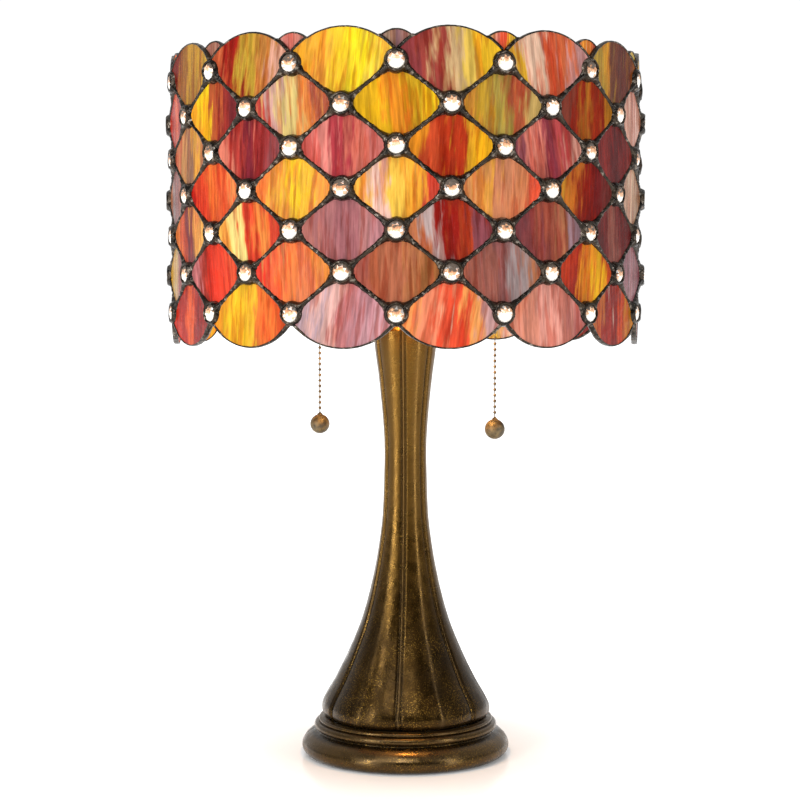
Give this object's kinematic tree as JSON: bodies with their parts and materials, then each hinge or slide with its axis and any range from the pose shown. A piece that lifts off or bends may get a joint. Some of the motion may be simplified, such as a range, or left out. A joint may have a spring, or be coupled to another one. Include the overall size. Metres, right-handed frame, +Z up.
{
  "type": "stained glass table lamp",
  "caption": "Table lamp with a ribbed cast bronze column on a round foot and a drum shade of leaded art glass panes with clear jewels, lit by bulbs on pull chains.",
  "frame": {"origin": "centre of the felt pad's underside, on the table", "axes": "+Z up along the column, -Y to the front, +X to the right"},
  "size_m": [0.3646, 0.3652, 0.5347],
  "materials": {
    "antique_bronze": "dark olive-brown cast bronze with gold rubbed through, semi-gloss lacquer",
    "aged_brass_pulls": "mottled antique brass, satin",
    "art_glass": "opalescent streaky art glass in amber, red, rose and mauve, lit from inside",
    "patinated_solder": "lumpy lead-tin solder with a dark bronze patina and worn grey highlights",
    "frosted_bulb": "frosted glass bulb, lit warm white",
    "plated_steel": "zinc-plated steel",
    "cast_iron": "rough grey iron",
    "felt": "dark brown felt",
    "fibre_board": "brown pressed fibre board",
    "rubber": "matt black moulded rubber",
    "wire_jacket": "brown plastic jacket",
    "phenolic": "black phenolic moulding",
    "brass_fittings": "aged brass, satin, darker in the corners"
  },
  "bodies": {
    "base": {"bottom_nut": "plated_steel", "bottom_washer": "plated_steel", "cap_nut": "brass_fittings", "chain_spout_left": "brass_fittings", "chain_spout_right": "brass_fittings", "cluster_body": "brass_fittings", "cluster_nut": "brass_fittings", "column_cap": "antique_bronze", "column_casting": "antique_bronze", "cord_bushing": "rubber", "cover_board": "fibre_board", "felt_pad": "felt", "foot_casting": "antique_bronze", "foot_weight": "cast_iron", "inner_wire": "wire_jacket", "riser_rod": "brass_fittings", "socket_arm_left": "brass_fittings", "socket_arm_right": "brass_fittings", "socket_cap_left": "brass_fittings", "socket_cap_right": "brass_fittings", "socket_core_left": "phenolic", "socket_core_right": "phenolic", "socket_shell_left": "brass_fittings", "socket_shell_right": "brass_fittings", "threaded_pipe": "brass_fittings"},
    "shade": {"glass_row_1": "art_glass", "glass_row_2": "art_glass", "glass_row_3": "art_glass", "glass_row_4": "art_glass", "glass_row_5": "art_glass", "glass_row_6": "art_glass", "glass_row_7": "art_glass", "lead_net": "patinated_solder", "spider_arm_1": "brass_fittings", "spider_arm_2": "brass_fittings", "spider_arm_3": "brass_fittings", "spider_hub": "brass_fittings", "spider_ring": "brass_fittings"},
    "finial": {"finial": "brass_fittings"},
    "bulb_right": {"bulb_base_right": "plated_steel", "bulb_glass_right": "frosted_bulb"},
    "pull_right": {"pull_link_right": "aged_brass_pulls"},
    "chain_right": {"pull_chain_right": "aged_brass_pulls", "pull_ball_right": "aged_brass_pulls"},
    "bulb_left": {"bulb_base_left": "plated_steel", "bulb_glass_left": "frosted_bulb"},
    "pull_left": {"pull_link_left": "aged_brass_pulls"},
    "chain_left": {"pull_chain_left": "aged_brass_pulls", "pull_ball_left": "aged_brass_pulls"}
  },
  "joints": [
    {"name": "shade_turn", "type": "hinge", "parent": "base", "child": "shade", "pos_m": [0, 0, 0.5044], "axis": [0, 0, 1], "continuous": true},
    {"name": "finial_turn", "type": "hinge", "parent": "base", "child": "finial", "pos_m": [0, 0, 0.5087], "axis": [0, 0, 1], "continuous": true},
    {"name": "bulb_turn_right", "type": "hinge", "parent": "base", "child": "bulb_right", "pos_m": [0.03081, -0.01437, 0.3611], "axis": [0.6409, -0.2988, 0.7071], "continuous": true},
    {"name": "pull_travel_right", "type": "slide", "parent": "base", "child": "pull_right", "axis": [0, 0, -1], "range_m": [0, 0.008], "stiffness_N_per_m": 600},
    {"name": "chain_swing_right", "type": "hinge", "parent": "pull_right", "child": "chain_right", "pos_m": [0.06734, -0.0314, 0.35881], "axis": [0.4226, 0.9063, 0], "range_deg": [-15, 15]},
    {"name": "bulb_turn_left", "type": "hinge", "parent": "base", "child": "bulb_left", "pos_m": [-0.03081, 0.01437, 0.3611], "axis": [-0.6409, 0.2988, 0.7071], "continuous": true},
    {"name": "pull_travel_left", "type": "slide", "parent": "base", "child": "pull_left", "axis": [0, 0, -1], "range_m": [0, 0.008], "stiffness_N_per_m": 600},
    {"name": "chain_swing_left", "type": "hinge", "parent": "pull_left", "child": "chain_left", "pos_m": [-0.06734, 0.0314, 0.35881], "axis": [0.4226, 0.9063, 0], "range_deg": [-15, 15]}
  ]
}
